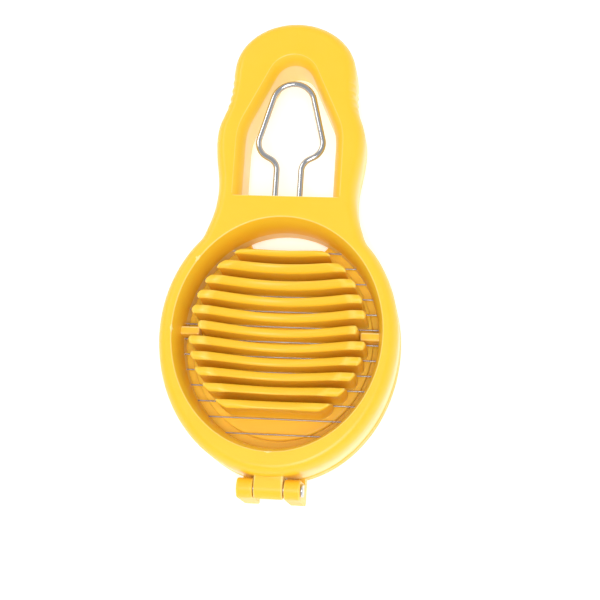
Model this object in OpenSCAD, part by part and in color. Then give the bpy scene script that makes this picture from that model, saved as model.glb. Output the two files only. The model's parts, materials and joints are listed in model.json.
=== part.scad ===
// Egg slicer with a peeling handle.
// A wire frame with a long handle is hinged to a ribbed cradle. Closing the frame
// draws its wires down between the ribs, and a steel loop in the handle lifts egg shell.
// The slicer lies closed on its cradle, with the front of the frame facing up.
// Origin: on the underside, below the centre of the ring. +Y runs along the handle.

/* [Frame ring] */
// Half-width of the ring's outline
ring_half_w = 41.9; // [40:0.1:44]
// Length of the ring's outline from its centre toward the handle
ring_half_l = 46.8; // [45:0.1:48]
// Length of the ring's outline from its centre toward the hinge
ring_far_l = 49.6; // [48:0.1:51]
// Half-width of the funnel's mouth in the front face
mouth_half_w = 36.7; // [36:0.1:38]
// Half-length of the funnel's mouth in the front face
mouth_half_l = 41.4; // [40.5:0.1:42]
// Opening at the wires, as a share of the mouth
throat_share = 0.945; // [0.93:0.005:0.95]
// Thickness of the front shell
front_t = 14; // [13:0.5:15]
// Thickness of the back shell
back_t = 5; // [4.5:0.5:6]

/* [Handle] */
// Half-width at the waist
waist_half_w = 24.7; // [23:0.1:25.5]
// Half-width at the bulge beside the window
bulge_half_w = 26.7; // [26:0.1:28]
// Half-width at the foot of the rounded head
head_half_w = 22.1; // [21:0.1:23]
// Where the rounded head starts, from the ring's centre
head_y = 97.2; // [96:0.1:98]
// How far the rounded head stands beyond its start
head_rise = 18.5; // [17:0.1:20]
// Foot of the window, from the ring's centre
window_y = 49; // [48.5:0.5:50]
// Half-width of the window at its foot, in the front face
window_half_w = 19.3; // [18.5:0.1:19.5]
// Top of the window, in the front face
window_top_y = 102.8; // [101:0.1:104]
// Width of the bevel around the window
window_bevel = 3; // [2:0.1:3.5]

/* [Wires] */
// Distance from wire to wire
wire_pitch = 5.5; // [5.2:0.1:5.6]
// Diameter of a wire
wire_d = 0.5; // [0.4:0.05:0.6]

/* [Peeling loop] */
// Diameter of the loop's rod
loop_d = 2.2; // [1.8:0.1:2.4]
// Distance of each leg from the middle
loop_leg_x = 4.4; // [4:0.1:5]
// Half-width of the loop's head
loop_half_w = 11.6; // [10:0.1:12]
// Top of the loop, from the ring's centre
loop_top_y = 93; // [90:0.5:94]

/* [Cradle] */
// Gap between neighbouring ribs
rib_gap = 2.4; // [2.2:0.1:2.8]
// Height of the cradle's outer rim
rim_h = 6.8; // [6:0.1:6.8]
// Height of the slot floors between the ribs
slot_floor_z = 9.5; // [9:0.1:10]
// Depth of the dish below the frame's front face
dish_deep = 11.9; // [11:0.1:12.4]
// Radius of the dish across the slicer
dish_r_across = 36.7; // [35:0.1:38]
// Radius of the dish along the slicer
dish_r_along = 45.8; // [44:0.1:47]
// Width of the thumb notch in the cradle's free end
notch_w = 30; // [26:1:32]

/* [Hinge] */
// Diameter of the hinge pin
pin_d = 3; // [2.5:0.1:3]
// Radial running clearance of the pin in the frame
pin_clearance = 0.05; // [0.03:0.01:0.1]
// Length of the hinge pin's shank
pin_l = 22; // [22:0.5:24]

/* [Hidden] */
$fn = 96;
eps = 0.01;
rest_gap = 0.2;                          // between the frame and the rim it rests on
frame_z = rim_h + rest_gap;              // back face of the frame
split_z = frame_z + back_t;              // where the two shells meet
face_z = split_z + front_t;              // front face
dish_z = face_z - dish_deep;
hinge_y = -ring_far_l - 3.7;
hinge_z = (slot_floor_z + face_z) / 2;   // half-way up the ribs
knuckle_r = 3.5;
knuckle_half_w = 5;                      // the frame's knuckle, between the posts
post_in = 5.4;                           // inner face of a hinge post
post_out = 11;                           // outer face of a hinge post
wire_z = split_z - wire_d / 2 - 0.05;    // wires lie in grooves in the back shell
groove = wire_d + 0.1;
wire_grip = 3.5;                         // length of wire held at each end
loop_z = face_z - 5;                     // the loop's legs sit in blind holes in the front shell
loop_root_y = 43;
rib_count = 11;
wire_count = rib_count + 2;              // one on each side of every rib, and one at the hinge end
rib_mid_y = 2.05;                        // the middle rib, a little toward the handle
rib_end_w = 31.2;                        // the ribs end on an ellipse
rib_end_l = 33;
rib_end_y = rib_mid_y - 1.2;
last_rib_cut = 1.2;                      // the rib nearest the handle is this much thinner
rib_top_z = face_z - 1;
lug_w = 3;                               // guide lugs inside the ring, beside the middle rib
lug_h = 6;
lug_y = rib_mid_y - 0.9;
lug_in = 28.5;
lug_rib_cut = 28;
plinth_half_w = 32.4;
plinth_half_l = 35.4;
throat_w = mouth_half_w * throat_share;
throat_l = mouth_half_l * throat_share;
plastic = [0.99, 0.76, 0.07];
steel = [0.78, 0.79, 0.8];

// ---- Outline of the frame -------------------------------------------------------

// Half-width of the handle at a few stations from the ring to the head: [y, half-width]
blend_y = 33;
function ring_w(y) = ring_half_w * sqrt(1 - pow(y / ring_half_l, 2));
stations = [[28, ring_w(28)], [blend_y, ring_w(blend_y) - 0.3], [38, waist_half_w + 2.7],
    [44, waist_half_w + 0.8], [51, waist_half_w], [57, waist_half_w + 0.4],
    [63, bulge_half_w - 0.6], [70, bulge_half_w], [76, bulge_half_w - 0.6],
    [81.5, head_half_w + 2], [88, head_half_w + 0.7], [head_y, head_half_w],
    [head_y + 5, head_half_w - 0.6]];

// A smooth curve through the stations (Catmull-Rom), from the second to the last but one
steps = 3;
function blend(p, t) = 0.5 * (2 * p[1] + (p[2] - p[0]) * t
    + (2 * p[0] - 5 * p[1] + 4 * p[2] - p[3]) * t * t
    + (3 * p[1] - p[0] - 3 * p[2] + p[3]) * t * t * t);
function side(s) = [for (i = [1:len(s) - 3]) for (j = [0:steps - 1])
    blend([s[i - 1], s[i], s[i + 1], s[i + 2]], j / steps)];
flank = side(stations);

ring_steps = 62;
ring_start = asin(blend_y / ring_half_l);
head_steps = 14;
// Half of the outline, from the ring's far end round to the top of the head
half_outline = concat(
    [for (i = [1:ring_steps]) let (a = -90 + (90 + ring_start) * i / (ring_steps + 1))
        [ring_half_w * cos(a), (a < 0 ? ring_far_l : ring_half_l) * sin(a)]],
    [for (p = flank) [p[1], p[0]]],
    [for (i = [0:head_steps - 1]) let (a = 90 * i / head_steps)
        [head_half_w * cos(a), head_y + head_rise * sin(a)]]);

function mirrored(h) = concat([[0, -ring_far_l]], h, [[0, head_y + head_rise]],
    [for (i = [len(h) - 1:-1:0]) [-h[i][0], h[i][1]]]);
outline = mirrored(half_outline);

function unit(v) = v / norm(v);

// ---- Outline of the window ------------------------------------------------------

window_r = 9.5;
window_steps = 10;
shoulder_y = 76;
// Where the straight slope of the window's side leaves the rounded top
function window_half(d) =
    let (r = window_r - d * 0.8, cy = window_top_y - window_r - d * 0.1, w = window_half_w - d)
    concat([[w, window_y]],
        [for (i = [0:4]) let (t = i / 4) [w - 1.6 * t * t, shoulder_y - 6 + 8 * t]],
        [for (i = [0:window_steps - 1]) let (a = 18 + 72 * i / window_steps)
            [r * cos(a), cy + r * sin(a)]]);
function window_outline(d) = let (h = window_half(d), top = window_top_y - d * 0.9)
    concat(h, [[0, top]], [for (i = [len(h) - 1:-1:0]) [-h[i][0], h[i][1]]]);

// ---- Shared shapes --------------------------------------------------------------

// A closed skin over rings that all have the same number of points
module loft(rings, heights) {
    n = len(rings[0]);
    points = [for (k = [0:len(rings) - 1]) for (p = rings[k]) [p[0], p[1], heights[k]]];
    walls = [for (k = [0:len(rings) - 2]) for (i = [0:n - 1])
        let (j = (i + 1) % n) [k * n + i, k * n + n + i, k * n + n + j, k * n + j]];
    foot = [[for (i = [0:n - 1]) i]];
    lid = [[for (i = [n - 1:-1:0]) (len(rings) - 1) * n + i]];
    polyhedron(points = points, faces = concat(walls, foot, lid));
}

module oval(half_w, half_l, h) {
    scale([half_w / half_l, 1, 1]) cylinder(r = half_l, h = h);
}

module at_hinge() {
    translate([0, hinge_y, hinge_z]) rotate([0, 90, 0]) children();
}

function wire_y(i) = rib_mid_y + (i - (wire_count + 2) / 2) * wire_pitch;
function throat_x(y) = throat_w * sqrt(1 - pow(y / throat_l, 2));
function wire_half(i) = throat_x(wire_y(i)) + wire_grip;

// ---- Frame ----------------------------------------------------------------------

oval_steps = 96;
function oval_points(half_w, half_l) = [for (i = [0:oval_steps - 1])
    let (a = 360 * i / oval_steps) [half_w * cos(a), half_l * sin(a)]];

// The funnel narrows from the mouth to the wires and runs straight on below them
module throat_cut() {
    translate([0, 0, frame_z - 1]) linear_extrude(back_t + 2)
        polygon(oval_points(throat_w, throat_l));
}

module funnel_cut() {
    throat = oval_points(throat_w, throat_l);
    mouth = oval_points(mouth_half_w, mouth_half_l);
    loft([throat, throat, mouth, mouth], [split_z - 1, split_z, face_z, face_z + 1]);
}

module window_hole() {
    translate([0, 0, frame_z - 1]) linear_extrude(face_z - frame_z + 2)
        polygon(window_outline(window_bevel));
}

module window_cut() {
    bevel_deep = 5;
    window_hole();
    loft([window_outline(window_bevel + eps), window_outline(0), window_outline(0)],
        [face_z - bevel_deep, face_z, face_z + 1]);
}

module guide_lugs() {
    for (side = [-1, 1]) {
        translate([side * (lug_in + throat_w + 1) / 2, lug_y, split_z + lug_h / 2])
            cube([throat_w + 1 - lug_in, lug_w, lug_h], center = true);
    }
}

module frame_knuckle() {
    at_hinge() translate([0, 0, -knuckle_half_w]) cylinder(r = knuckle_r, h = 2 * knuckle_half_w);
    translate([-knuckle_half_w, hinge_y, split_z])
        cube([2 * knuckle_half_w, -hinge_y - ring_far_l + 2, hinge_z + knuckle_r - split_z]);
}

module slab(low, high) {
    translate([0, 0, low]) linear_extrude(high - low) polygon(outline);
}

// Blind holes for the loop's two legs, from the foot of the window towards the ring
module leg_holes() {
    room = 0.05;
    for (side = [-1, 1]) {
        translate([side * loop_leg_x, loop_root_y - 2 * room, loop_z]) rotate([-90, 0, 0])
            cylinder(d = loop_d + 2 * room, h = window_y - loop_root_y + 1);
    }
}

module frame_front() {
    color(plastic) difference() {
        union() {
            difference() {
                slab(split_z, face_z);
                funnel_cut();
                window_cut();
                leg_holes();
            }
            guide_lugs();
            frame_knuckle();
        }
        at_hinge() cylinder(r = pin_d / 2 + pin_clearance, h = 4 * knuckle_r, center = true);
    }
}

// Grooves in the back shell, in which the front shell clamps the wires
module wire_grooves() {
    for (i = [1:wire_count]) {
        translate([-wire_half(i) - 0.1, wire_y(i) - groove / 2, split_z - groove])
            cube([2 * wire_half(i) + 0.2, groove, groove + 1]);
    }
}

module frame_back() {
    color(plastic) difference() {
        slab(frame_z, split_z);
        throat_cut();
        window_hole();
        wire_grooves();
    }
}

// ---- Wires and loop -------------------------------------------------------------

module wire(i) {
    color(steel) translate([0, wire_y(i), wire_z]) rotate([0, 90, 0])
        cylinder(d = wire_d, h = 2 * wire_half(i), center = true);
}

// A tube along a path in the loop's plane
module tube(path, d, sides) {
    n = len(path);
    points = [for (i = [0:n - 1])
        let (t = unit(path[min(i + 1, n - 1)] - path[max(i - 1, 0)]))
        for (k = [0:sides - 1])
            let (a = 360 * k / sides, r = d / 2)
            [path[i][0] - t[1] * r * cos(a), path[i][1] + t[0] * r * cos(a), r * sin(a)]];
    walls = [for (i = [0:n - 2]) for (k = [0:sides - 1])
        let (m = (k + 1) % sides)
        [i * sides + k, (i + 1) * sides + k, (i + 1) * sides + m, i * sides + m]];
    foot = [[for (k = [0:sides - 1]) k]];
    end = [[for (k = [sides - 1:-1:0]) (n - 1) * sides + k]];
    polyhedron(points = points, faces = concat(walls, foot, end));
}

function arc(centre, r, from, to, n) = [for (i = [0:n])
    let (a = from + (to - from) * i / n) centre + r * [cos(a), sin(a)]];

// Half of the loop. The leg bends outwards round a small arc, the shoulder turns it back
// up, and the side runs straight and inwards to the round top.
leg_bend_r = 5;
shoulder_r = 6;
top_r = 7.6;
leg_end_y = 60;
flare = 62;                              // how far the leg leans out between its bends
side_lean = 15;                          // how far the sides lean in
shoulder_x = loop_half_w - shoulder_r;
bend_c = [loop_leg_x + leg_bend_r, leg_end_y];
bend_end = bend_c + leg_bend_r * [-cos(flare), sin(flare)];
flare_run = (shoulder_x + shoulder_r * cos(flare) - bend_end[0]) / sin(flare);
shoulder_c = [shoulder_x,
    bend_end[1] + flare_run * cos(flare) + shoulder_r * sin(flare)];
half_loop = concat([[loop_leg_x, loop_root_y], [loop_leg_x, window_y]],
    arc(bend_c, leg_bend_r, 180, 180 - flare, 6),
    arc(shoulder_c, shoulder_r, -flare, side_lean, 8),
    arc([0, loop_top_y - top_r], top_r, side_lean, 90, 8));
loop_path = concat(half_loop, [for (i = [len(half_loop) - 2:-1:0])
    [-half_loop[i][0], half_loop[i][1]]]);

module peeler_loop() {
    color(steel) translate([0, 0, loop_z]) tube(loop_path, loop_d, 12);
}

// ---- Cradle ---------------------------------------------------------------------

// Distance from the hinge at which a wire of the closed frame lies
function swing_r(y) = norm([y - hinge_y, wire_z - hinge_z]);

// The dish: a round-sectioned ring surface about an axis across the slicer
module dish() {
    neck = dish_r_along - dish_r_across;
    translate([0, rib_mid_y, dish_z + dish_r_along]) rotate([0, 90, 0]) rotate_extrude($fn = 180)
        intersection() {
            translate([neck, 0]) circle(r = dish_r_across);
            translate([0, -dish_r_across]) square([dish_r_along + 1, 2 * dish_r_across]);
        }
}

module rib_stock() {
    difference() {
        translate([0, rib_end_y, slot_floor_z - 1])
            oval(rib_end_w, rib_end_l, rib_top_z - slot_floor_z + 1);
        dish();
    }
}

// Each rib is an arc about the hinge, so that the wires swing up between the ribs
module ribs() {
    intersection() {
        rib_stock();
        union() for (i = [1:rib_count]) {
            y = rib_mid_y + (i - (rib_count + 1) / 2) * wire_pitch;
            inner = swing_r(y - wire_pitch / 2) + rib_gap / 2;
            outer = swing_r(y + wire_pitch / 2) - rib_gap / 2 - (i == rib_count ? last_rib_cut : 0);
            cut = (i == (rib_count + 1) / 2) ? lug_rib_cut : rib_end_w;
            at_hinge() difference() {
                translate([0, 0, -cut]) cylinder(r = outer, h = 2 * cut);
                translate([0, 0, -cut - 1]) cylinder(r = inner, h = 2 * cut + 2);
            }
        }
    }
}

module hinge_posts() {
    for (side = [-1, 1]) {
        x = side > 0 ? post_in : -post_out;
        at_hinge() translate([0, 0, x]) cylinder(r = knuckle_r, h = post_out - post_in);
        translate([x, hinge_y - knuckle_r, 0]) cube([post_out - post_in, 2 * knuckle_r, hinge_z]);
        translate([x, hinge_y, 0]) cube([post_out - post_in, 10, rim_h]);
    }
}

// The rim has the outline of the ring, longer toward the hinge
module rim() {
    for (side = [-1, 1]) {
        intersection() {
            oval(ring_half_w, side > 0 ? ring_half_l : ring_far_l, rim_h);
            translate([0, side * ring_far_l, 0])
                cube([3 * ring_half_w, 2 * ring_far_l, 3 * rim_h], center = true);
        }
    }
}

// Open underneath, with a rim and a cross to stand on
module underside_cut() {
    wall = 2.5;
    cross_t = 3;
    difference() {
        translate([0, 0, -1]) oval(plinth_half_w - wall, plinth_half_l - wall, slot_floor_z - wall + 1);
        cube([2 * ring_half_w, cross_t, 4 * rim_h], center = true);
        cube([cross_t, 2 * ring_half_l, 4 * rim_h], center = true);
        translate([-notch_w / 2 - wall, plinth_half_l - 5, -1]) cube([notch_w + 2 * wall, 20, 20]);
    }
}

module cradle() {
    notch_y = 33.2;
    notch_corner = 5;
    color(plastic) difference() {
        union() {
            rim();
            oval(plinth_half_w, plinth_half_l, slot_floor_z);
            ribs();
            hinge_posts();
        }
        underside_cut();
        // Thumb notch with round inner corners
        translate([-notch_w / 2 + notch_corner, notch_y, -1])
            cube([notch_w - 2 * notch_corner, 30, slot_floor_z + 2]);
        translate([-notch_w / 2, notch_y + notch_corner, -1]) cube([notch_w, 30, slot_floor_z + 2]);
        for (side = [-1, 1]) {
            translate([side * (notch_w / 2 - notch_corner), notch_y + notch_corner, -1])
                cylinder(r = notch_corner, h = slot_floor_z + 2);
        }
        at_hinge() cylinder(d = pin_d, h = 4 * post_out, center = true);
    }
}

module hinge_pin() {
    head_d = 4.6;
    head_t = 1;
    color(steel) at_hinge() {
        cylinder(d = pin_d, h = pin_l, center = true);
        translate([0, 0, pin_l / 2]) cylinder(d = head_d, h = head_t);
    }
}

frame_front();
frame_back();
cradle();
hinge_pin();
peeler_loop();
wire(1);  // wire_01
wire(2);  // wire_02
wire(3);  // wire_03
wire(4);  // wire_04
wire(5);  // wire_05
wire(6);  // wire_06
wire(7);  // wire_07
wire(8);  // wire_08
wire(9);  // wire_09
wire(10);  // wire_10
wire(11);  // wire_11
wire(12);  // wire_12
wire(13);  // wire_13
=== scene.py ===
"""Looks for the egg slicer: rounded mouldings, ribs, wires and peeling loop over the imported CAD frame."""

import json
import math

import bmesh
import bpy
from mathutils import Matrix, Vector
from mathutils.geometry import delaunay_2d_cdt


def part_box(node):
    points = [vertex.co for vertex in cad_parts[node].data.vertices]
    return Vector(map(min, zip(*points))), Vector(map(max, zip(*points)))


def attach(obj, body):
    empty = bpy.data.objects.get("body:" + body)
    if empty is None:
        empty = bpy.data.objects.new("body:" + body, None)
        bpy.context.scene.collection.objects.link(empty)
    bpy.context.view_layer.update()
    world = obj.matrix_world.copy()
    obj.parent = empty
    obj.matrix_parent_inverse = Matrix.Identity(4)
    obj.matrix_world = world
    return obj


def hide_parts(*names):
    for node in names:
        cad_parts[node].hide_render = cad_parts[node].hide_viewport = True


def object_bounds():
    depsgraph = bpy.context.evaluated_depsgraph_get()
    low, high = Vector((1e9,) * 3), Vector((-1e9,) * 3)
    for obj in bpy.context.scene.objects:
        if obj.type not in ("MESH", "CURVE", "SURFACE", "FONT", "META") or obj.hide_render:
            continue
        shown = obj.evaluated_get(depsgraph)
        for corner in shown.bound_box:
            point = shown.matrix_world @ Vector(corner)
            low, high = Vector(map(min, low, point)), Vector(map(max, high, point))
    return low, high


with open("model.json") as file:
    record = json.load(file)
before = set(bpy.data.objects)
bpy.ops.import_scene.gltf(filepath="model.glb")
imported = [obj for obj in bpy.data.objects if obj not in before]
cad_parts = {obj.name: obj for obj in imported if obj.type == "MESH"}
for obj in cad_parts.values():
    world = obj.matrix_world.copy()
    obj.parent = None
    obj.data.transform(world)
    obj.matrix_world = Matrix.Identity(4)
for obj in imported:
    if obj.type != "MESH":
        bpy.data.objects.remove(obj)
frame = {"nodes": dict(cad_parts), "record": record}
CAD_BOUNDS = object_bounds()

MM = 0.001
FACE_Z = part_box("frame_front")[1].z          # front face of the frame
SPLIT_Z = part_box("frame_back")[1].z          # seam between the two shells
BACK_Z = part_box("frame_back")[0].z           # back face of the frame
RIB_TOP_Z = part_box("cradle")[1].z
HINGE = Vector(frame["record"]["behaviour"]["joints"][0]["pos_m"])
WIRES = sorted(n for n in frame["nodes"] if n.startswith("wire_"))


# ---- Outlines read from the CAD frame ------------------------------------------------

def flat_loops(node, z):
    """Outlines of a CAD node's flat faces at height z, anticlockwise, the largest first."""
    mesh = frame["nodes"][node].data
    near = 0.02 * MM
    places = 5                               # corners within 0.01 mm are one
    ahead = {}
    edges = set()
    for face in mesh.polygons:
        corners = [mesh.vertices[i].co for i in face.vertices]
        if any(abs(c.z - z) > near for c in corners):
            continue
        keys = [(round(c.x, places), round(c.y, places)) for c in corners]
        for a, b in zip(keys, keys[1:] + keys[:1]):
            if (b, a) in edges:
                edges.remove((b, a))
            elif a != b:
                edges.add((a, b))
    for a, b in sorted(edges):
        ahead.setdefault(a, []).append(b)
    loops = []
    while ahead:
        start = next(iter(ahead))
        loop = [start]
        here = ahead[start].pop()
        if not ahead[start]:
            del ahead[start]
        while here != start:
            loop.append(here)
            onward = ahead[here].pop()
            if not ahead[here]:
                del ahead[here]
            here = onward
        if area(loop) < 0:
            loop.reverse()
        loops.append([Vector(p) for p in loop])
    return sorted(loops, key=area, reverse=True)


def area(loop):
    """Signed area of a loop, positive when it runs anticlockwise."""
    return 0.5 * sum(a[0] * b[1] - b[0] * a[1] for a, b in zip(loop, loop[1:] + loop[:1]))


def turn(a, b, c):
    """Angle in degrees by which a path turns at b."""
    p, q = b - a, c - b
    return abs(math.degrees(math.atan2(p.x * q.y - p.y * q.x, p.dot(q))))


def along(path, count):
    """count points evenly spread over an open path, its last point left out."""
    lengths = [0.0]
    for a, b in zip(path, path[1:]):
        lengths.append(lengths[-1] + (b - a).length)
    out = []
    k = 0
    for i in range(count):
        s = lengths[-1] * i / count
        while lengths[k + 1] < s:
            k += 1
        t = (s - lengths[k]) / (lengths[k + 1] - lengths[k])
        out.append(path[k].lerp(path[k + 1], t))
    return out


def fair(loop, fixed, rounds=14):
    """Smooths the facets out of a closed loop. The points numbered in fixed stay where they are."""
    for _ in range(rounds):
        loop = [p if i in fixed else 0.5 * p + 0.25 * (loop[i - 1] + loop[(i + 1) % len(loop)])
                for i, p in enumerate(loop)]
    return loop


def even(loop, count, foot=0):
    """A loop as count evenly spread points. With foot, foot of them run between its two corners."""
    if not foot:
        first = max(range(len(loop)), key=lambda i: (loop[i].x, loop[i].y))
        loop = loop[first:] + loop[:first]
        return fair(along(loop + loop[:1], count), ())
    n = len(loop)
    sharp = sorted(range(n), key=lambda i: -turn(loop[i - 1], loop[i], loop[(i + 1) % n]))[:2]
    right, left = sorted(sharp, key=lambda i: -loop[i].x)
    loop = loop[right:] + loop[:right]
    left = (left - right) % n
    points = along(loop[:left + 1], count - foot) + along(loop[left:] + loop[:1], foot)
    return fair(points, (0, count - foot))


def inset(loop, d):
    """The loop moved d towards its inside."""
    least_share = 0.6                        # keeps sharp corners from shooting out
    out = []
    for i, p in enumerate(loop):
        a = (p - loop[i - 1]).normalized()
        b = (loop[(i + 1) % len(loop)] - p).normalized()
        n = Vector((-a.y - b.y, a.x + b.x)).normalized()
        out.append(p + n * (d / max(least_share, n.dot(Vector((-a.y, a.x))))))
    return out


def between(a, b, t):
    """The loop at share t of the way from loop a to loop b."""
    return [p.lerp(q, t) for p, q in zip(a, b)]


# ---- Mesh building ---------------------------------------------------------------------

class Skin:
    """Closed surfaces made of bands between rings of points."""

    def __init__(self):
        self.bm = bmesh.new()

    def ring(self, loop, z):
        """New corners along a flat loop at height z."""
        return [self.bm.verts.new((p.x, p.y, z)) for p in loop]

    def ring3(self, points):
        """New corners at 3-D points."""
        return [self.bm.verts.new(p) for p in points]

    def band(self, a, b):
        """Four-sided faces between two rings of as many corners."""
        n = len(a)
        for i in range(n):
            self.bm.faces.new((a[i], a[(i + 1) % n], b[(i + 1) % n], b[i]))

    def bands(self, rings):
        """Bands from each ring to the next. Gives the first and the last ring."""
        for a, b in zip(rings, rings[1:]):
            self.band(a, b)
        return rings[0], rings[-1]

    def cap(self, ring):
        """One face over a ring."""
        self.bm.faces.new(ring)

    def plate(self, *rings, across="z"):
        """Fills the flat area inside the first ring and outside the others, at right angles to an axis."""
        triangles_inside = 1
        near = 1e-8
        fixed = "xyz".index(across)
        verts, loops = [], []
        for r in rings:
            loops.append(list(range(len(verts), len(verts) + len(r))))
            verts += r
        flat = [Vector([c for axis, c in enumerate(v.co) if axis != fixed]) for v in verts]
        points, _, faces, sources, _, owners = delaunay_2d_cdt(flat, [], loops, triangles_inside, near)
        level = verts[0].co[fixed]
        corners = [verts[source[0]] if source else self.bm.verts.new((*point[:fixed], level, *point[fixed:]))
                   for point, source in zip(points, sources)]
        for face, owner in zip(faces, owners):
            if list(owner) == [0]:
                self.bm.faces.new([corners[i] for i in face])

    def piece(self, name, material, body, nodes, sharp=40):
        """Makes the finished piece, which replaces CAD nodes. Creases over sharp degrees stay sharp."""
        bmesh.ops.recalc_face_normals(self.bm, faces=self.bm.faces)
        mesh = bpy.data.meshes.new(name)
        self.bm.to_mesh(mesh)
        self.bm.free()
        mesh.shade_smooth()
        mesh.set_sharp_from_angle(angle=math.radians(sharp))
        mesh.materials.append(material)
        thing = bpy.data.objects.new(name, mesh)
        bpy.context.scene.collection.objects.link(thing)
        weighted = thing.modifiers.new("Weighted normals", "WEIGHTED_NORMAL")
        weighted.keep_sharp = True
        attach(thing, body)
        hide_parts(*nodes)
        return thing


def quarter(steps):
    """(sine, cosine) of evenly spread angles from 0 to 90 degrees."""
    angles = [math.radians(90 * k / steps) for k in range(steps + 1)]
    return [(math.sin(a), math.cos(a)) for a in angles]


def block(skin, profile, x0, x1, edge, bore_r=0):
    """A profile in the YZ plane drawn out along X, with round end edges and perhaps the hinge's bore."""
    # Extra points this far from an edge keep its pale edge, wear and painted highlight, narrow. Where the
    # ends are filled round a bore, they lie further off than the edge is wide, so that the end's outline
    # doesn't cross itself.
    near = 1.2 * edge if bore_r else 0.3 * MM
    edge_steps = 4
    dense = []
    for a, b in zip(profile, profile[1:] + profile[:1]):
        run = b - a
        dense.append(a)
        if run.length > 3 * near:
            dense += [a + run * (near / run.length), b - run * (near / run.length)]

    def at(x, d):
        """The profile at x, inset by d."""
        return skin.ring3([(x, p.x, p.y) for p in inset(dense, d)])

    rings = [at(x0 + edge * (1 - s), edge * (1 - c)) for s, c in reversed(quarter(edge_steps))]
    rings += [at(x0 + edge + near, 0), at(x1 - edge - near, 0)]
    rings += [at(x1 - edge * (1 - s), edge * (1 - c)) for s, c in quarter(edge_steps)]
    skin.bands(rings)
    if not bore_r:
        skin.cap(rings[0])
        skin.cap(rings[-1])
        return
    wall = [(x0, bore_r + near), (x0, bore_r), (x0 + near, bore_r),
            (x1 - near, bore_r), (x1, bore_r), (x1, bore_r + near)]
    first, last = skin.bands([circle(skin, x, r) for x, r in wall])
    skin.plate(rings[0], first, across="x")
    skin.plate(rings[-1], last, across="x")


def arc(centre, r, start, end, steps):
    """Points of an arc from one angle to another, in degrees."""
    angles = [math.radians(start + (end - start) * k / steps) for k in range(steps + 1)]
    return [Vector((centre[0] + r * math.cos(a), centre[1] + r * math.sin(a))) for a in angles]


def circle(skin, x, r):
    """A ring of points round the hinge's axis."""
    sides = 48
    return skin.ring3([(x, p.x, p.y) for p in arc((HINGE.y, HINGE.z), r, 0, 360, sides)[:-1]])


def rod(skin, path, r, sides, end_round):
    """A round rod along a flat path at one height, with rounded ends. Path points are 3-D."""
    n = len(path)
    end_steps = 3
    up = Vector((0, 0, 1))
    rings = []

    def section(at, heading, radius):
        """A round section across the heading."""
        side = heading.cross(up).normalized()
        angles = [2 * math.pi * k / sides for k in range(sides)]
        return skin.ring3([at + radius * (math.cos(a) * side + math.sin(a) * up) for a in angles])

    for i, p in enumerate(path):
        heading = (path[min(i + 1, n - 1)] - path[max(i - 1, 0)]).normalized()
        if i == 0:
            for s, c in quarter(end_steps):
                rings.append(section(p + heading * end_round * (1 - s), heading, r - end_round * c))
        elif i == n - 1:
            for s, c in reversed(quarter(end_steps)):
                rings.append(section(p - heading * end_round * (1 - s), heading, r - end_round * c))
        else:
            rings.append(section(p, heading, r))
    skin.bands(rings)
    skin.cap(rings[0])
    skin.cap(rings[-1])


# ---- Materials ---------------------------------------------------------------------------

def node_setup(name):
    """A new material's tree with one shader, and the place on the piece that its textures use."""
    material = bpy.data.materials.new(name)
    material.use_nodes = True
    tree = material.node_tree
    tree.nodes.clear()
    shader = tree.nodes.new("ShaderNodeBsdfPrincipled")
    out = tree.nodes.new("ShaderNodeOutputMaterial")
    tree.links.new(shader.outputs[0], out.inputs[0])
    place = tree.nodes.new("ShaderNodeTexCoord").outputs["Object"]
    return material, tree, shader, place


def noise(tree, place, scale, detail=3.0, stretch=None):
    """A noise texture, drawn out along the axes by the stretch factors."""
    if stretch:
        mapping = tree.nodes.new("ShaderNodeMapping")
        mapping.inputs["Scale"].default_value = stretch
        tree.links.new(place, mapping.inputs["Vector"])
        place = mapping.outputs[0]
    texture = tree.nodes.new("ShaderNodeTexNoise")
    texture.inputs["Scale"].default_value = scale
    texture.inputs["Detail"].default_value = detail
    tree.links.new(place, texture.inputs["Vector"])
    return texture.outputs[0]


def ranged(tree, value, low, high, start=0.3, end=0.7):
    """A value from start to end turned into one from low to high."""
    node = tree.nodes.new("ShaderNodeMapRange")
    node.inputs["From Min"].default_value = start
    node.inputs["From Max"].default_value = end
    node.inputs["To Min"].default_value = low
    node.inputs["To Max"].default_value = high
    tree.links.new(value, node.inputs["Value"])
    return node.outputs[0]


def mixed(tree, share, a, b):
    """Colour a with a share of colour b. Either may be a colour or a socket."""
    node = tree.nodes.new("ShaderNodeMix")
    node.data_type = "RGBA"
    factor, first, second, result = 0, 6, 7, 2    # the node's sockets for colours
    tree.links.new(share, node.inputs[factor])
    for socket, colour in ((node.inputs[first], a), (node.inputs[second], b)):
        if isinstance(colour, tuple):
            socket.default_value = (*colour, 1)
        else:
            tree.links.new(colour, socket)
    return node.outputs[result]


def bumped(tree, shader, height, strength, distance):
    """Raises the shader's surface by a height value."""
    bump = tree.nodes.new("ShaderNodeBump")
    bump.inputs["Strength"].default_value = strength
    bump.inputs["Distance"].default_value = distance
    tree.links.new(height, bump.inputs["Height"])
    tree.links.new(bump.outputs[0], shader.inputs["Normal"])


def edges_of(tree):
    """0 on flat surfaces and 1 on outer edges."""
    flat, sharp = 0.52, 0.548
    return ranged(tree, tree.nodes.new("ShaderNodeNewGeometry").outputs["Pointiness"], 0, 1, flat, sharp)


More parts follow.
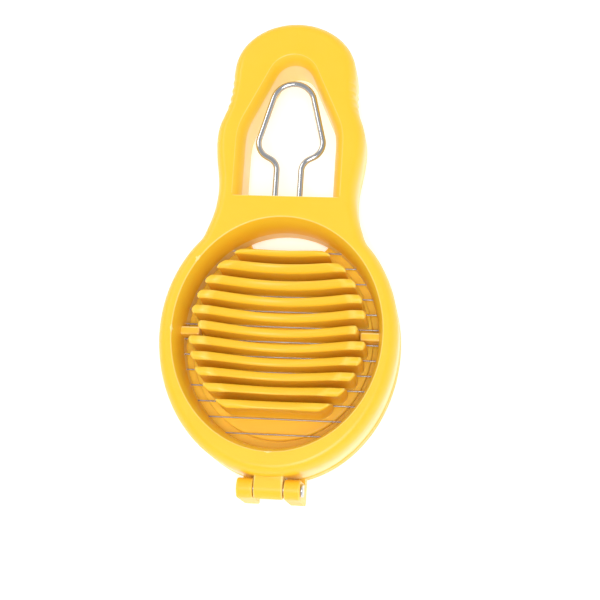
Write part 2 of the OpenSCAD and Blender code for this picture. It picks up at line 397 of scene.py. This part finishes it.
def plastic(name, colour, deep, pale, rough):
    """Satin moulded plastic: cloudy colour, uneven gloss, fine grain, and paler edges that are partly wear
    and partly a painted highlight along creases such as the mouth's rim.
    """
    cloud_scale, gloss_scale, grain_scale = 45.0, 160.0, 2600.0
    grain_strength, grain_deep = 0.12, 0.04 * MM
    material, tree, shader, place = node_setup(name)
    cloud = ranged(tree, noise(tree, place, cloud_scale), 0, 1)
    body = mixed(tree, cloud, colour, deep)
    # Paler on sharp edges: edge wear plus a painted highlight standing in for the light caught by the mouth's
    # crease.
    wear_and_highlight = mixed(tree, edges_of(tree), body, pale)
    tree.links.new(wear_and_highlight, shader.inputs["Base Color"])
    gloss = ranged(tree, noise(tree, place, gloss_scale, 5.0), rough - 0.05, rough + 0.06)
    tree.links.new(gloss, shader.inputs["Roughness"])
    bumped(tree, shader, noise(tree, place, grain_scale, 2.0), grain_strength, grain_deep)
    shader.inputs["Subsurface Weight"].default_value = 0.15
    shader.inputs["Subsurface Radius"].default_value = (1.0, 0.6, 0.15)
    shader.inputs["Subsurface Scale"].default_value = 1.5 * MM
    shader.inputs["Specular IOR Level"].default_value = 0.34
    return material


def steel(name, colour, rough, grain):
    """Drawn or polished steel with streaks along the axis that has the small factor in grain."""
    streak_scale, patch_scale = 900.0, 120.0
    streak_strength, streak_deep = 0.08, 0.02 * MM
    patch_share = 0.86                       # how bright the darker patches are
    material, tree, shader, place = node_setup(name)
    streaks = noise(tree, place, streak_scale, 4.0, grain)
    patches = noise(tree, place, patch_scale)
    tint = tuple(c * patch_share for c in colour)
    tree.links.new(mixed(tree, ranged(tree, patches, 0, 1), colour, tint), shader.inputs["Base Color"])
    tree.links.new(ranged(tree, streaks, rough * 0.7, rough * 1.4), shader.inputs["Roughness"])
    bumped(tree, shader, streaks, streak_strength, streak_deep)
    shader.inputs["Metallic"].default_value = 1.0
    return material


def floor_paint():
    """Matt white paint, slightly cloudy, with a faint glow that keeps it white in the shade."""
    cloud_scale = 3.0
    light, dark = (0.93, 0.93, 0.935), (0.9, 0.9, 0.905)
    material, tree, shader, place = node_setup("floor_paint")
    cloud = ranged(tree, noise(tree, place, cloud_scale), 0, 1)
    tree.links.new(mixed(tree, cloud, light, dark), shader.inputs["Base Color"])
    shader.inputs["Roughness"].default_value = 0.8
    shader.inputs["Emission Color"].default_value = (1, 1, 1, 1)
    shader.inputs["Emission Strength"].default_value = 0.36
    return material


# ---- Frame --------------------------------------------------------------------------------

OUTER_POINTS = 900
MOUTH_POINTS = 360
WINDOW_POINTS = 320
WINDOW_FOOT = 60
SEAM = 0.25 * MM                             # chamfer on each side of the seam


def grip_ridges(loop):
    """Shallow ridges across both sides of the handle's head."""
    low, high = 80.5 * MM, 95.5 * MM
    pitch = 3.0 * MM
    depth = 0.45 * MM
    out = []
    for p, q in zip(loop, inset(loop, depth)):
        if low < p.y < high:
            fade = min(1, (p.y - low) / pitch, (high - p.y) / pitch)
            wave = 0.5 - 0.5 * math.cos(2 * math.pi * (p.y - low) / pitch)
            p = p.lerp(q, wave * fade)
        out.append(p)
    return out


def outer_rings(edge_in, steps):
    """The frame's outline inset in steps up to edge_in, its ridges fading inwards, as (loop, sine) pairs."""
    plain = even(flat_loops("frame_front", FACE_Z)[0], OUTER_POINTS)
    ridged = grip_ridges(plain)
    out = []
    for s, c in quarter(steps):
        moved = inset(plain, edge_in * (1 - c))
        out.append(([m + (r - p) * c for m, r, p in zip(moved, ridged, plain)], s))
    return out


def frame_holes():
    """Mouth, throat, window in the face and window hole, as even loops."""
    front = flat_loops("frame_front", FACE_Z)
    back = flat_loops("frame_back", BACK_Z)
    return (even(front[1], MOUTH_POINTS), even(back[1], MOUTH_POINTS),
            even(front[2], WINDOW_POINTS, WINDOW_FOOT), even(back[2], WINDOW_POINTS, WINDOW_FOOT))


def frame_front(material):
    """The front shell: rounded outside, a curved funnel down to the wires, and the bevelled window."""
    edge_in, edge_deep = 3.4 * MM, 5.0 * MM
    lip = 0.5 * MM
    guard = 0.25 * MM                        # flat strip that keeps the pale edge (wear and painted highlight) narrow
    bevel_deep = 5.0 * MM
    funnel_curve = 2.2                       # 1 makes a straight wall, more makes it steeper near the wires
    edge_steps, lip_steps, funnel_steps, bevel_steps = 9, 3, 12, 10
    rounded = outer_rings(edge_in, edge_steps)
    outer = rounded[0][0]
    mouth, throat, window, hole = frame_holes()
    skin = Skin()

    wall = [skin.ring(inset(outer, SEAM), SPLIT_Z), skin.ring(outer, SPLIT_Z + SEAM)]
    wall += [skin.ring(loop, FACE_Z - edge_deep * (1 - s)) for loop, s in rounded]
    wall.append(skin.ring(inset(rounded[-1][0], guard), FACE_Z))
    outer_low, outer_top = skin.bands(wall)

    funnel = [skin.ring(inset(mouth, -lip - guard), FACE_Z)]
    funnel += [skin.ring(inset(mouth, -lip * (1 - s)), FACE_Z - lip * (1 - c))
               for s, c in quarter(lip_steps)]
    for k in range(1, funnel_steps + 1):
        t = k / funnel_steps
        loop = between(mouth, throat, 1 - (1 - t) ** funnel_curve)
        funnel.append(skin.ring(loop, FACE_Z - lip - (FACE_Z - lip - SPLIT_Z) * t))
    mouth_top, mouth_low = skin.bands(funnel)

    sides = [skin.ring(inset(window, -guard), FACE_Z)]
    for k, (s, c) in enumerate(quarter(bevel_steps)):
        t = k / bevel_steps                  # the bevel is half way between a flat and a round one
        sides.append(skin.ring(between(window, hole, 0.5 * (s + t)), FACE_Z - 0.5 * bevel_deep * (1 - c + t)))
    sides.append(skin.ring(hole, SPLIT_Z))
    window_top, window_low = skin.bands(sides)

    skin.plate(outer_top, mouth_top, window_top)
    skin.plate(outer_low, mouth_low, window_low)
    guide_lugs(skin)
    knuckle(skin)
    return skin.piece("frame_front_moulding", material, "frame", ["frame_front"])


def guide_lugs(skin):
    """Two small tabs inside the ring, in line with the middle rib."""
    mid = RIB_MID_Y - 0.9 * MM               # slightly nearer the hinge than the rib
    half = 1.5 * MM
    tall = 6.0 * MM
    inner, outer = 28.5 * MM, 35.4 * MM
    edge = 0.6 * MM
    box = rounded_box(mid - half, mid + half, SPLIT_Z, SPLIT_Z + tall, edge)
    block(skin, box, inner, outer, edge)
    block(skin, box, -outer, -inner, edge)


def rounded_box(y0, y1, z0, z1, r):
    """A rectangle with round corners in the YZ plane, anticlockwise."""
    steps = 5
    return (arc((y1 - r, z0 + r), r, -90, 0, steps) + arc((y1 - r, z1 - r), r, 0, 90, steps)
            + arc((y0 + r, z1 - r), r, 90, 180, steps) + arc((y0 + r, z0 + r), r, 180, 270, steps))


KNUCKLE_R = 3.5 * MM
KNUCKLE_STEPS = 24
PIN_R = 1.5 * MM


def knuckle(skin):
    """The frame's half of the hinge, on the ring's far end, with a running fit on the pin."""
    half = 5.0 * MM
    edge = 0.4 * MM
    fit = 0.05 * MM
    overlap = 2.0 * MM                       # how far it reaches into the ring
    inner_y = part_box("frame_back")[0].y + overlap
    profile = (arc((HINGE.y, HINGE.z), KNUCKLE_R, 90, 270, KNUCKLE_STEPS)
               + [Vector((HINGE.y, SPLIT_Z)), Vector((inner_y, SPLIT_Z)),
                  Vector((inner_y, HINGE.z + KNUCKLE_R))])
    block(skin, profile, -half, half, edge, PIN_R + fit)


def frame_back(material):
    """The back shell, which closes the seam under the wires."""
    edge_r = 2.0 * MM
    lip = 0.5 * MM
    edge_steps, lip_steps = 7, 4
    rounded = outer_rings(edge_r, edge_steps)
    outer = rounded[0][0]
    _, throat, _, hole = frame_holes()
    skin = Skin()
    wall = [skin.ring(inset(outer, SEAM), SPLIT_Z), skin.ring(outer, SPLIT_Z - SEAM)]
    wall += [skin.ring(loop, BACK_Z + edge_r * (1 - s)) for loop, s in rounded]
    outer_top, outer_low = skin.bands(wall)

    def passage(loop):
        """A hole through the shell, with a rounded edge at the back."""
        rings = [skin.ring(loop, SPLIT_Z)]
        rings += [skin.ring(inset(loop, -lip * (1 - c)), BACK_Z + lip * (1 - s))
                  for s, c in quarter(lip_steps)]
        return skin.bands(rings)

    throat_top, throat_low = passage(throat)
    hole_top, hole_low = passage(hole)
    skin.plate(outer_top, throat_top, hole_top)
    skin.plate(outer_low, throat_low, hole_low)
    return skin.piece("frame_back_moulding", material, "frame", ["frame_back"])


# ---- Cradle ---------------------------------------------------------------------------------

RIM_TOP_Z = 6.8 * MM
SLOT_FLOOR_Z = 9.5 * MM
RIB_GAP = 2.4 * MM
RIB_END_W = 31.2 * MM
RIB_END_L = 33.0 * MM
RIB_END_BACK = 1.2 * MM                      # from the middle rib to the ellipse's centre
LAST_RIB_CUT = 1.2 * MM
MIDDLE_RIB_W = 28.0 * MM
DISH_DEEP = 11.9 * MM
DISH_R_ACROSS = 36.7 * MM
DISH_R_ALONG = 45.8 * MM
WIRE_Z = 0.5 * (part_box(WIRES[0])[0].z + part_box(WIRES[0])[1].z)
GAP_YS = sorted(0.5 * (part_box(n)[0].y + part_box(n)[1].y) for n in WIRES)[1:]
RIB_MID_Y = 0.5 * (GAP_YS[0] + GAP_YS[-1])


def dish_height(x, y):
    """Height of the dish that the egg lies in."""
    brow_r = 0.5 * MM                        # rounds the dish into the ribs' flat tops
    across = math.sqrt(DISH_R_ACROSS ** 2 - x * x)
    reach = DISH_R_ALONG - DISH_R_ACROSS + across
    z = FACE_Z - DISH_DEEP + DISH_R_ALONG - math.sqrt(reach ** 2 - (y - RIB_MID_Y) ** 2)
    return soft_min(z, RIB_TOP_Z, brow_r)


def soft_min(a, b, r):
    """The smaller of a and b, with a round transition about r wide."""
    if abs(a - b) >= 2 * r:
        return min(a, b)
    return min(a, b) - (2 * r - abs(a - b)) ** 2 / (8 * r)


def swing(r, z):
    """Y at height z of an arc of radius r about the hinge."""
    return HINGE.y + math.sqrt(r * r - (z - HINGE.z) ** 2)


def rib(skin, near, far, half_w, cut):
    """A rib between the arcs through the wires at near and far, thinner by cut, with a round top and ends."""
    r_in = math.hypot(near - HINGE.y, WIRE_Z - HINGE.z) + RIB_GAP / 2
    r_out = math.hypot(far - HINGE.y, WIRE_Z - HINGE.z) - RIB_GAP / 2 - cut
    foot_z = SLOT_FLOOR_Z - 0.5 * MM
    crown = 1.1 * MM
    end_r = 1.2 * MM
    end_drop = 0.9 * end_r                   # how far the top comes down at the very end
    end_run = 1.2 * end_r                    # length at each end that the even run leaves out
    side_steps, crown_steps, run_steps, end_steps = 6, 12, 44, 7
    mid_y = 0.5 * (swing(r_in, HINGE.z) + swing(r_out, HINGE.z))

    def end_x(y):
        """Where the rib ends at y."""
        t = (y - RIB_MID_Y + RIB_END_BACK) / RIB_END_L
        return min(half_w, RIB_END_W * math.sqrt(max(0.0, 1 - t * t)))

    def section(share, back, squeeze, drop):
        """Ring of points at a share of the rib's length, less back, with its thickness times squeeze."""
        sign = 1 if share > 0 else -1
        rows = [(-1, k / side_steps) for k in range(side_steps)]
        rows += [(-math.cos(math.pi * k / crown_steps), 1) for k in range(crown_steps + 1)]
        rows += [(1, 1 - (k + 1) / side_steps) for k in range(side_steps)]
        points = []
        base_x = end_x(mid_y) * share - sign * back
        edge_z = dish_height(base_x, mid_y) - crown - drop
        for u, rise in rows:
            z = foot_z + (edge_z - foot_z) * rise
            low, high = swing(r_in, z), swing(r_out, z)
            y = 0.5 * (low + high) + 0.5 * (high - low) * u * squeeze
            x = end_x(y) * share - sign * back
            if rise == 1:
                top = dish_height(x, y) - drop
                z = top - crown * (1 - math.sqrt(max(0.0, 1 - u * u)))
            points.append((x, y, z))
        return skin.ring3(points)

    ends = quarter(end_steps)[:-1]
    rings = [section(-1, end_r * (1 - s), c, end_drop * (1 - c)) for s, c in reversed(ends)]
    inner = 1 - end_run / end_x(0.5 * (near + far))
    rings += [section(inner * (2 * k / run_steps - 1), 0, 1, 0) for k in range(run_steps + 1)]
    rings += [section(1, end_r * (1 - s), c, end_drop * (1 - c)) for s, c in ends]
    skin.bands(rings)
    skin.cap(rings[0])
    skin.cap(rings[-1])


def oval_base(skin):
    """Rim and plinth of the cradle, with the thumb notch and the pockets underneath."""
    edge = 0.9 * MM
    foot_edge = 0.8 * MM
    pocket_top = 6.3 * MM
    plinth_foot = 6.4 * MM
    plinth_in = 0.03 * MM
    edge_steps, foot_steps = 5, 4
    rim_points, plinth_points, pocket_points = 700, 600, 200
    rim_rounds = 40
    ellipse_limit = 1.002                    # points past it belong to the hinge posts
    reach = abs(CAD_BOUNDS[0].x)
    half_l = -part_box("frame_back")[0].y
    underside, *hollows = flat_loops("cradle", 0.0)
    rim = [p for p in underside if (p.x / reach) ** 2 + (p.y / half_l) ** 2 < ellipse_limit]
    rim = fair(even(rim, rim_points), (), rim_rounds)
    wall = [skin.ring(inset(rim, foot_edge * (1 - s)), foot_edge * (1 - c))
            for s, c in quarter(foot_steps)]
    wall += [skin.ring(inset(rim, edge * (1 - c)), RIM_TOP_Z - edge * (1 - s))
             for s, c in quarter(edge_steps)]
    rim_low, rim_top = skin.bands(wall)
    pockets = []
    for loop in hollows:
        loop = along(loop + loop[:1], pocket_points)
        mouth, ceiling = skin.bands([skin.ring(loop, 0.0), skin.ring(loop, pocket_top)])
        pockets.append(mouth)
        skin.plate(ceiling)
    skin.plate(rim_low, *pockets)
    skin.plate(rim_top)

    plinth = inset(even(flat_loops("cradle", SLOT_FLOOR_Z)[0], plinth_points), plinth_in)
    wall = [skin.ring(plinth, plinth_foot)]
    wall += [skin.ring(inset(plinth, foot_edge * (1 - c)), SLOT_FLOOR_Z - foot_edge * (1 - s))
             for s, c in quarter(foot_steps)]
    low, top = skin.bands(wall)
    skin.plate(low)
    skin.plate(top)


def hinge_posts(skin):
    """Two posts that hold the pin, on the cradle's rim."""
    inner, outer = 5.4 * MM, 11.0 * MM
    edge = 0.5 * MM
    foot_z = 0.4 * MM
    step_z = RIM_TOP_Z - 0.3 * MM
    overlap = 5.0 * MM                       # how far they reach into the rim
    inner_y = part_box("frame_back")[0].y + overlap
    top = arc((HINGE.y, HINGE.z), KNUCKLE_R, 0, 180, KNUCKLE_STEPS)
    profile = top + [Vector((HINGE.y - KNUCKLE_R, foot_z)), Vector((inner_y, foot_z)),
                     Vector((inner_y, step_z)), Vector((HINGE.y + KNUCKLE_R, step_z))]
    block(skin, profile, inner, outer, edge, PIN_R)
    block(skin, profile, -outer, -inner, edge, PIN_R)


def cradle(material):
    """Rim, plinth, ribs and hinge posts, which are one moulding."""
    skin = Skin()
    oval_base(skin)
    for near, far in zip(GAP_YS, GAP_YS[1:]):
        middle = abs(0.5 * (near + far) - RIB_MID_Y) < MM
        cut = LAST_RIB_CUT if far == GAP_YS[-1] else 0
        rib(skin, near, far, MIDDLE_RIB_W if middle else RIB_END_W, cut)
    hinge_posts(skin)
    return skin.piece("cradle_moulding", material, "cradle", ["cradle"])


# ---- Steel parts ------------------------------------------------------------------------------

def wires(material):
    """One straight wire for each wire of the CAD frame."""
    sides, count = 16, 24
    for node in WIRES:
        low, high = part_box(node)
        y, z = 0.5 * (low.y + high.y), 0.5 * (low.z + high.z)
        r = 0.5 * (high.z - low.z)
        path = [Vector((low.x + (high.x - low.x) * k / count, y, z)) for k in range(count + 1)]
        skin = Skin()
        rod(skin, path, r, sides, 0.3 * r)
        skin.piece(node + "_steel", material, "frame", [node], sharp=60)


def peeling_loop(material):
    """A bent rod: two legs out of the waist, wide shoulders and a round top."""
    low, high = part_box("peeler_loop")
    r = 0.5 * (high.z - low.z)
    z = 0.5 * (low.z + high.z)
    sides, end_round = 32, 0.3 * MM
    leg_x = 4.4 * MM
    half_w = high.x - r
    top_y = high.y - r
    root_y = low.y
    bend_r, shoulder_r, top_r = 5.0 * MM, 6.0 * MM, 7.6 * MM
    leg_mid_y, leg_end_y = root_y + 10.0 * MM, root_y + 17.0 * MM
    flare, lean = 62, 15                     # degrees that the rod turns outwards, and that its sides lean in
    sine, cosine = math.sin(math.radians(flare)), math.cos(math.radians(flare))
    bend = (leg_x + bend_r, leg_end_y)
    bend_end = (bend[0] - bend_r * cosine, bend[1] + bend_r * sine)
    shoulder_x = half_w - shoulder_r
    run = (shoulder_x + shoulder_r * cosine - bend_end[0]) / sine
    shoulder = (shoulder_x, bend_end[1] + run * cosine + shoulder_r * sine)
    half = [Vector((leg_x, root_y)), Vector((leg_x, leg_mid_y))]
    half += arc(bend, bend_r, 180, 180 - flare, 12)
    half += arc(shoulder, shoulder_r, -flare, lean, 16)
    half += arc((0, top_y - top_r), top_r, lean, 90, 16)
    flat = half + [Vector((-p.x, p.y)) for p in reversed(half[:-1])]
    skin = Skin()
    rod(skin, [Vector((p.x, p.y, z)) for p in flat], r, sides, end_round)
    return skin.piece("peeling_loop_rod", material, "frame", ["peeler_loop"], sharp=60)


def hinge_pin(material):
    """A straight pin with a thin round head on one end."""
    low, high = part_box("hinge_pin")
    head_r = 0.5 * (high.z - low.z)
    head_t = 1.0 * MM
    edge = 0.3 * MM
    turned = [(low.x, PIN_R - edge), (low.x + edge, PIN_R), (high.x - head_t, PIN_R),
              (high.x - head_t, head_r - edge), (high.x - head_t + edge, head_r),
              (high.x - edge, head_r), (high.x, head_r - edge)]
    skin = Skin()
    rings = [circle(skin, x, r) for x, r in turned]
    skin.bands(rings)
    skin.cap(rings[0])
    skin.cap(rings[-1])
    return skin.piece("hinge_pin_steel", material, "cradle", ["hinge_pin"])


# ---- Stage --------------------------------------------------------------------------------------

def floor():
    """A wide plane just under the cradle."""
    half = 3.0
    drop = 0.2 * MM
    mesh = bpy.data.meshes.new("floor")
    mesh.from_pydata([(-half, -half, -drop), (half, -half, -drop), (half, half, -drop), (-half, half, -drop)],
                     [], [(0, 1, 2, 3)])
    mesh.materials.append(floor_paint())
    plane = bpy.data.objects.new("floor", mesh)
    bpy.context.scene.collection.objects.link(plane)


def lamp(name, at, size, power, colour=(1, 1, 1)):
    """A round area lamp aimed at the middle of the slicer."""
    aim = Vector((0, 0.03, 0))
    light = bpy.data.lights.new(name, "AREA")
    light.shape = "DISK"
    light.size = size
    light.energy = power
    light.color = colour
    thing = bpy.data.objects.new(name, light)
    thing.location = at
    thing.rotation_euler = (aim - Vector(at)).to_track_quat("-Z", "Y").to_euler()
    bpy.context.scene.collection.objects.link(thing)


def lights():
    """Three soft lamps, mostly from the camera's side, and the glowing studio."""
    lamp("key", (-0.6, 0.5, 0.9), 0.4, 2.0, (1.0, 0.98, 0.95))
    lamp("fill", (0.25, -0.4, 1.1), 0.5, 4.4)
    lamp("top", (0.05, -0.25, 1.2), 0.4, 4.2)
    bpy.context.scene.world = studio()


def studio():
    """White walls all round, brighter than the ceiling, so that light reaches down the funnel's sides."""
    wall_glow, ceiling_glow = 0.95, 0.45
    wall_top, ceiling_edge = 0.3, 0.6        # as the Z part of a direction, which is 1 straight up
    world = bpy.data.worlds.new("studio")
    world.use_nodes = True
    tree = world.node_tree
    back = tree.nodes.get("Background") or tree.nodes.new("ShaderNodeBackground")
    back.inputs["Color"].default_value = (1, 1, 1, 1)
    split = tree.nodes.new("ShaderNodeSeparateXYZ")
    tree.links.new(tree.nodes.new("ShaderNodeTexCoord").outputs["Generated"], split.inputs[0])
    glow = ranged(tree, split.outputs["Z"], wall_glow, ceiling_glow, wall_top, ceiling_edge)
    tree.links.new(glow, back.inputs["Strength"])
    return world


def camera():
    """The camera's turns and place, fitted to the ring, the handle and the rib lines."""
    tilt, pan, roll = (math.radians(a) for a in (-13.5, -7.442, -3.685))
    offset = Vector((-8.254, -10.895, -517.0)) * MM
    turned = Matrix.Rotation(roll, 3, "Z") @ Matrix.Rotation(tilt, 3, "X") @ Matrix.Rotation(pan, 3, "Y")
    back = turned.transposed()
    data = bpy.data.cameras.new("camera")
    data.lens = 90.0
    data.sensor_width = 36.0
    thing = bpy.data.objects.new("camera", data)
    thing.matrix_world = Matrix.Translation(-(back @ offset) + Vector((0, 0, FACE_Z))) @ back.to_4x4()
    bpy.context.scene.collection.objects.link(thing)
    bpy.context.scene.camera = thing


yellow = plastic("yellow_plastic", colour=(0.975, 0.56, 0.022), deep=(0.96, 0.54, 0.018),
                 pale=(1.0, 0.74, 0.24), rough=0.34)
cradle_yellow = plastic("cradle_yellow", colour=(0.975, 0.55, 0.021), deep=(0.96, 0.53, 0.018),
                        pale=(0.99, 0.66, 0.10), rough=0.38)
frame_front(yellow)
frame_back(yellow)
cradle(cradle_yellow)
wires(steel("wire_steel", colour=(0.42, 0.41, 0.39), rough=0.34, grain=(0.05, 1, 1)))
peeling_loop(steel("loop_steel", colour=(0.62, 0.63, 0.65), rough=0.12, grain=(1, 0.05, 1)))
hinge_pin(steel("pin_steel", colour=(0.66, 0.66, 0.67), rough=0.3, grain=(1, 0.1, 0.1)))
floor()
lights()
camera()
bpy.context.scene.view_settings.view_transform = "Standard"
bpy.context.scene.view_settings.gamma = 1.15
